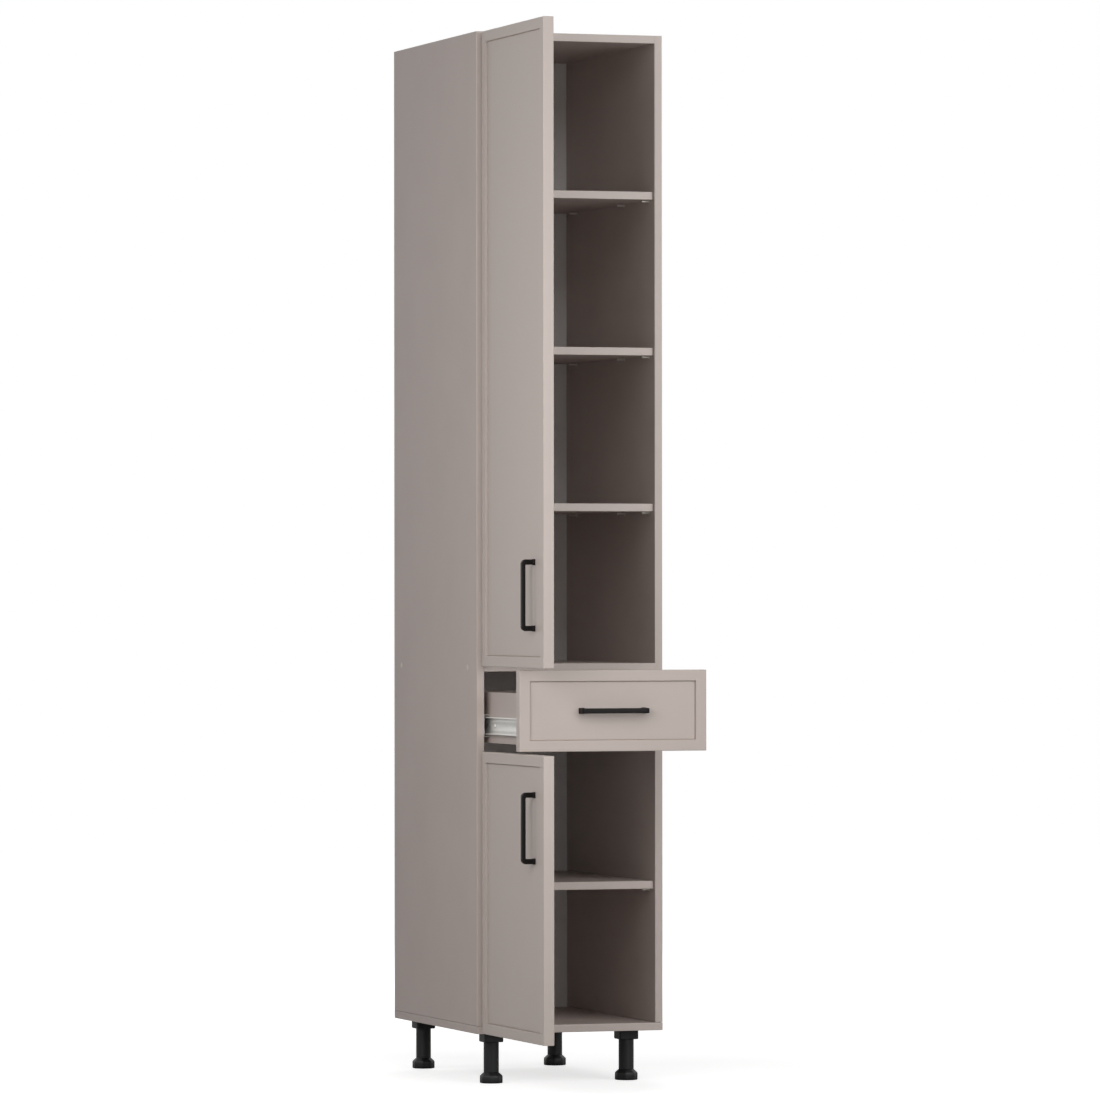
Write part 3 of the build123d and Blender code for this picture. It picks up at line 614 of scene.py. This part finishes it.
# Door pads. Clear soft plastic domes, stuck inside the free edge of each door to silence it on the
# carcass. They let light through, with a smeared sheen of about 2 mm.
pad_gel, tree, place = new_finish("clear_soft_pad")
smear = add_node(tree, "ShaderNodeTexNoise", {"Vector": place, "Scale": 500.0, "Detail": 1.0})
dull = add_node(tree, "ShaderNodeMapRange", {
    "Value": smear.outputs["Fac"], "To Min": 0.12, "To Max": 0.25})
surface = add_node(tree, "ShaderNodeBsdfPrincipled", {
    "Base Color": linear("#E4E4E1"), "Roughness": dull.outputs["Result"], "IOR": 1.5,
    "Transmission Weight": 0.7})
add_node(tree, "ShaderNodeOutputMaterial", {"Surface": surface.outputs["BSDF"]})
pad_height = 0.0016
pad_radius = 0.004
lift = np.radians(np.linspace(0, 90, 9))
dome = np.stack([pad_height * np.sin(lift), pad_radius * np.abs(np.cos(lift)) ** 0.5], -1)
pad_dome = np.concatenate([[(0.0, 0.0)], dome])
for door in ("upper_door", "lower_door"):
    low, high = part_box(door + "_bumpers")
    pad_heights = (low[2] + pad_radius, high[2] - pad_radius)
    spots = [(low[0], (low[1] + high[1]) / 2, z) for z in pad_heights]
    points, faces = gathered([turned(pad_dome, p, (1, 0, 0), sides=32) for p in spots])
    make_piece(door + "_pads", points, faces, [pad_gel], door, [door + "_bumpers"])

# Concealed hinges. Pressed steel, nickel plated: a plate on the side board, an arm with two adjusting
# screws, a swinging link, and a cup let into the door.
dress(["hinge_plates", "hinge_arms", "hinge_plate_screws"], nickel)
for door in ("upper_door", "lower_door"):
    dress([door + "_hinge_cups", door + "_hinge_links", door + "_cup_screws"], nickel)


def cross_heads(name, spots, axis, radius, finish, body):
    """Screw heads as discs of rings and angles. The height is a flat dome that falls to the rim with the
    fourth power of the distance, less a cross whose arms fade with the distance from their middle lines;
    the last ring closes the disc underneath."""
    axis = np.array(axis, dtype=float)
    one = np.roll(np.abs(axis), 1)
    two = np.cross(axis, one)
    sides = 48
    dome = 0.00045
    cut = 0.00042
    arm_width = 0.13
    arm_length = 0.55
    arm_fade = 30
    under = -0.0001
    distance = np.append(np.linspace(0, 1, 15), 0)[:, None]
    angle = np.linspace(0, 2 * np.pi, sides, endpoint=False)[None, :]
    x = distance * np.cos(angle)
    y = distance * np.sin(angle)
    aside = np.minimum(np.abs(x), np.abs(y))
    arm = np.exp(-(aside / arm_width) ** 4) / (1 + np.exp((distance - arm_length) * arm_fade))
    height = dome * (1 - distance ** 4) - cut * arm
    height[-1] = under
    disc = radius * (x[:, :, None] * one + y[:, :, None] * two) + height[:, :, None] * axis
    disc_faces = grid_faces(len(distance), sides)
    points, faces = gathered([(np.array(p) + disc.reshape(-1, 3), disc_faces) for p in spots])
    make_piece(name, points, faces, [finish], body)


cup_head = 0.0035
cup_screws = (-0.0225, 0.0225)
for door in ("upper_door", "lower_door"):
    screw_low, screw_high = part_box(door + "_cup_screws")
    y_screw = (screw_low[1] + screw_high[1]) / 2
    spots = [(screw_high[0], y_screw, z + dz) for z in hinge_heights[door] for dz in cup_screws]
    cross_heads(door + "_cup_crosses", spots, (1, 0, 0), cup_head, nickel, door)
plate_face = -0.181
plate_head = 0.0041
plate_screws = (-0.016, 0.016)
adjuster_face = -0.1739
side_adjuster = 0.0033
depth_adjuster = 0.0024
hinge_line = -0.248
all_heights = hinge_heights["upper_door"] + hinge_heights["lower_door"]
spots = [(plate_face, hinge_line, z + dz) for z in all_heights for dz in plate_screws]
cross_heads("hinge_plate_crosses", spots, (1, 0, 0), plate_head, nickel, "carcass")
spots = [(adjuster_face, hinge_line - 0.006, z) for z in all_heights]
cross_heads("hinge_side_adjusters", spots, (1, 0, 0), side_adjuster, zinc, "carcass")
spots = [(adjuster_face, hinge_line + 0.008, z) for z in all_heights]
cross_heads("hinge_depth_adjusters", spots, (1, 0, 0), depth_adjuster, zinc, "carcass")

# Drawer box. Edged melamine boards with the strip on top, screwed together behind the front, and a
# hardboard bottom in a groove. Two holes in the inner front clear the heads of the handle's screws.
low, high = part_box("drawer_left_side")
board_thick = 0.016
bore_radius = 0.004
bore_depth = 0.0025
lower_row = 0.032
upper_row = 0.020
bore_ends = (low[1] + board_thick / 2, high[1] - board_thick / 2)
bore_heights = (low[2] + lower_row, high[2] - upper_row)
bores = [(y, z, bore_radius, bore_depth) for y in bore_ends for z in bore_heights]
edged_board("drawer_left_side", "drawer", 1, 2, 1, bores)
edged_board("drawer_right_side", "drawer", 1, 2, 1, (), bores)
low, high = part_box("drawer_handle")
well_radius = 0.006
wells = [(x, (low[2] + high[2]) / 2, well_radius) for x in (-handle_half, handle_half)]
far_ends = [w + (board_thick,) for w in wells]
near_ends = [w + (0,) for w in wells]
edged_board("drawer_inner_front", "drawer", 0, 2, 1, far_ends, near_ends)
edged_board("drawer_back", "drawer", 0, 2, 1)
dress(["drawer_bottom"], hardboard)
dress(["drawer_box_screws", "drawer_front_screws"], zinc)
screw_low, screw_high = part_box("drawer_front_screws")
front_head = 0.0045
front_cross = 0.0044
front_line = 0.121
screw_heights = (screw_low[2] + front_head, screw_high[2] - front_head)
spots = [(side * front_line, screw_high[1], z) for side in (-1, 1) for z in screw_heights]
cross_heads("drawer_front_crosses", spots, (0, 1, 0), front_cross, zinc, "drawer")

# Ball runners. Cold-rolled zinc-plated strip bent to two channels, the wider one screwed to the side
# board and the narrower one to the drawer; steel balls in a cage roll between their flanges.


def rolled_channel(node, body, mouth, groove):
    """A channel as a profile carried along the runner. The profile is a strip of sheet laid round three
    sides of the box: its middle line has rounded corners, a raised band on each half of the web, a ball
    groove along each flange, and lips turned in; the sheet's faces lie half its thickness to either
    side."""
    sheet = 0.0012
    low, high = (np.array(c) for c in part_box(node))
    deep = high[0] - low[0] - sheet
    tall = (high[2] - low[2] - sheet) / 2
    bend = 0.0016
    lip = 0.0009
    tip = 0.0005
    track = 0.55 * deep
    track_width = 0.16 * deep
    quarter = np.radians(np.linspace(0, 90, 7))
    web = np.array([(0.0, 0.0), (0.0, 0.35), (0.0004, 0.42), (0.0004, 0.70), (0.0, 0.77)])
    web *= np.array([1, tall])
    corner = np.stack([bend * (1 - np.cos(quarter)), tall - bend * (1 - np.sin(quarter))], -1)
    reach = np.linspace(bend, deep - lip, 17)[1:]
    sink = groove * np.exp(-((reach - track) / track_width) ** 2)
    flange = np.stack([reach, tall - sink], -1)
    curl = np.stack([deep - lip + lip * np.sin(quarter), tall - lip * (1 - np.cos(quarter))], -1)[1:]
    half = np.concatenate([web, corner, flange, curl, [(deep, tall - lip - tip)]])
    line = np.concatenate([half[:0:-1] * np.array([1, -1]), half])
    run = np.diff(line, axis=0)
    run /= np.linalg.norm(run, axis=1)[:, None]
    step = np.concatenate([run[:1], run[:-1] + run[1:], run[-1:]])
    step /= np.linalg.norm(step, axis=1)[:, None]
    side = np.stack([-step[:, 1], step[:, 0]], -1) * sheet / 2
    ring = np.concatenate([line + side, (line - side)[::-1]])
    count = len(ring)
    points = np.zeros((2, count, 3))
    points[:, :, 0] = (low[0] + sheet / 2 if mouth > 0 else high[0] - sheet / 2) + mouth * ring[:, 0]
    points[:, :, 2] = (low + high)[2] / 2 + ring[:, 1]
    points[0, :, 1] = low[1]
    points[1, :, 1] = high[1]
    faces = grid_faces(2, count).tolist() + [range(count), range(count, 2 * count)]
    make_piece(node + "_rolled", points, faces, [zinc], body, [node])


rolled_channel("runner_cabinet_left", "carcass", 1, 0.0)
rolled_channel("runner_cabinet_right", "carcass", -1, 0.0)
rolled_channel("runner_drawer_left", "drawer", -1, 0.0003)
rolled_channel("runner_drawer_right", "drawer", 1, 0.0003)
dress(["runner_ball_cages", "runner_cabinet_screws", "runner_drawer_screws"], zinc)
runner_head = 0.0036
runner_cross = 0.0035
for node, body, head_face, way in (("runner_cabinet_screws", "carcass", 0.1812, -1),
                                   ("runner_drawer_screws", "drawer", 0.1738, 1)):
    low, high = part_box(node)
    rows = np.linspace(low[1] + runner_head, high[1] - runner_head, 3)
    for side, word in ((-1, "left"), (1, "right")):
        spots = [(side * head_face, y, (low[2] + high[2]) / 2) for y in rows]
        crosses = node.replace("screws", "crosses_") + word
        cross_heads(crosses, spots, (side * way, 0, 0), runner_cross, zinc, body)

# The room: a pale floor that keeps the shadow and fades to white, a white surround, six soft
# lamps in front and one behind, and the camera where the photograph was taken from.
surround = bpy.data.worlds.new("white_surround")
bpy.context.scene.world = surround
surround.use_nodes = True
tree = surround.node_tree
tree.nodes.clear()
path = add_node(tree, "ShaderNodeLightPath")
seen = add_node(tree, "ShaderNodeMath", {
    0: path.outputs["Is Camera Ray"], 1: path.outputs["Is Glossy Ray"]}, operation="MAXIMUM")
seen = add_node(tree, "ShaderNodeMath", {
    0: seen.outputs[0], 1: path.outputs["Is Transmission Ray"]}, operation="MAXIMUM")
ambient = add_node(tree, "ShaderNodeBackground", {"Color": linear("#FFFFFF"), "Strength": 0.01})
white = add_node(tree, "ShaderNodeBackground", {"Color": linear("#FFFFFF"), "Strength": 1.0})
both = add_node(tree, "ShaderNodeMixShader", {
    0: seen.outputs[0], 1: ambient.outputs[0], 2: white.outputs[0]})
add_node(tree, "ShaderNodeOutputWorld", {"Surface": both.outputs[0]})

floor_half = 12.0
mesh = bpy.data.meshes.new("floor")
corners = floor_half * np.array([(-1, -1, 0), (1, -1, 0), (1, 1, 0), (-1, 1, 0)])
mesh.from_pydata(corners.tolist(), [], [(0, 1, 2, 3)])
floor = bpy.data.objects.new("floor", mesh)
bpy.context.collection.objects.link(floor)
pale, tree, place = new_finish("pale_floor")
path = add_node(tree, "ShaderNodeLightPath")
away = add_node(tree, "ShaderNodeVectorMath", {0: place}, operation="LENGTH")
fade = add_node(tree, "ShaderNodeMapRange", {
    "Value": away.outputs["Value"], "From Min": 0.6, "From Max": 3.0, "To Min": 0.7, "To Max": 1.0})
matt = add_node(tree, "ShaderNodeBsdfDiffuse", {"Color": linear("#D8D8D8")})
glow = add_node(tree, "ShaderNodeEmission", {
    "Color": linear("#FFFFFF"), "Strength": fade.outputs["Result"]})
lit = add_node(tree, "ShaderNodeAddShader", {0: matt.outputs[0], 1: glow.outputs[0]})
both = add_node(tree, "ShaderNodeMixShader", {
    0: path.outputs["Is Camera Ray"], 1: matt.outputs[0], 2: lit.outputs[0]})
add_node(tree, "ShaderNodeOutputMaterial", {"Surface": both.outputs[0]})
mesh.materials.append(pale)


def soft_lamp(name, azimuth, elevation, power, aim, size, away):
    """A square lamp that faces the point aim from the distance away; azimuth runs from the front, positive
    to the right."""
    lamp = bpy.data.lights.new(name, "AREA")
    lamp.size = size
    lamp.energy = power
    holder = bpy.data.objects.new(name, lamp)
    bpy.context.collection.objects.link(holder)
    a = math.radians(azimuth)
    e = math.radians(elevation)
    way = Vector((math.sin(a) * math.cos(e), -math.cos(a) * math.cos(e), math.sin(e)))
    holder.location = Vector(aim) + away * way
    holder.rotation_euler = way.to_track_quat("Z", "Y").to_euler()


front_aim = (0, -0.3, 1.1)
lamp_size = 2.2
lamp_away = 4.2
soft_lamp("key_lamp", -6, 38, 35, front_aim, lamp_size, lamp_away)
soft_lamp("right_lamp", 25, 12, 43, front_aim, lamp_size, lamp_away)
soft_lamp("front_lamp", 8, 3, 13, front_aim, lamp_size, lamp_away)
soft_lamp("near_left_lamp", -40, 3, 14, (0, -0.3, 1.2), 1.2, 2.0)
soft_lamp("left_lamp", -48, 16, 17, front_aim, lamp_size, lamp_away)
soft_lamp("side_lamp", -95, 18, 28, front_aim, lamp_size, lamp_away)
soft_lamp("rear_lamp", 160, 30, 70, (0, 0.3, 1.1), lamp_size, lamp_away)

lens_mm = 224.38
sensor_mm = 36.0
eye = Vector((-4.47141, -13.55600, 1.00826))
yaw = 0.32209
pitch = 0.00581
roll = -0.00083
ahead = Vector((math.sin(yaw) * math.cos(pitch), math.cos(yaw) * math.cos(pitch), math.sin(pitch)))
right = Vector((math.cos(yaw), -math.sin(yaw), 0))
up = right.cross(ahead)
turned_right = math.cos(roll) * right + math.sin(roll) * up
turned_up = math.cos(roll) * up - math.sin(roll) * right
camera = bpy.data.cameras.new("camera")
camera.lens = lens_mm
camera.sensor_width = sensor_mm
camera.clip_end = 100
holder = bpy.data.objects.new("camera", camera)
bpy.context.collection.objects.link(holder)
turn = Matrix((turned_right, turned_up, -ahead)).transposed()
holder.matrix_world = Matrix.Translation(eye) @ turn.to_4x4()
bpy.context.scene.camera = holder
bpy.context.scene.view_settings.view_transform = "Standard"
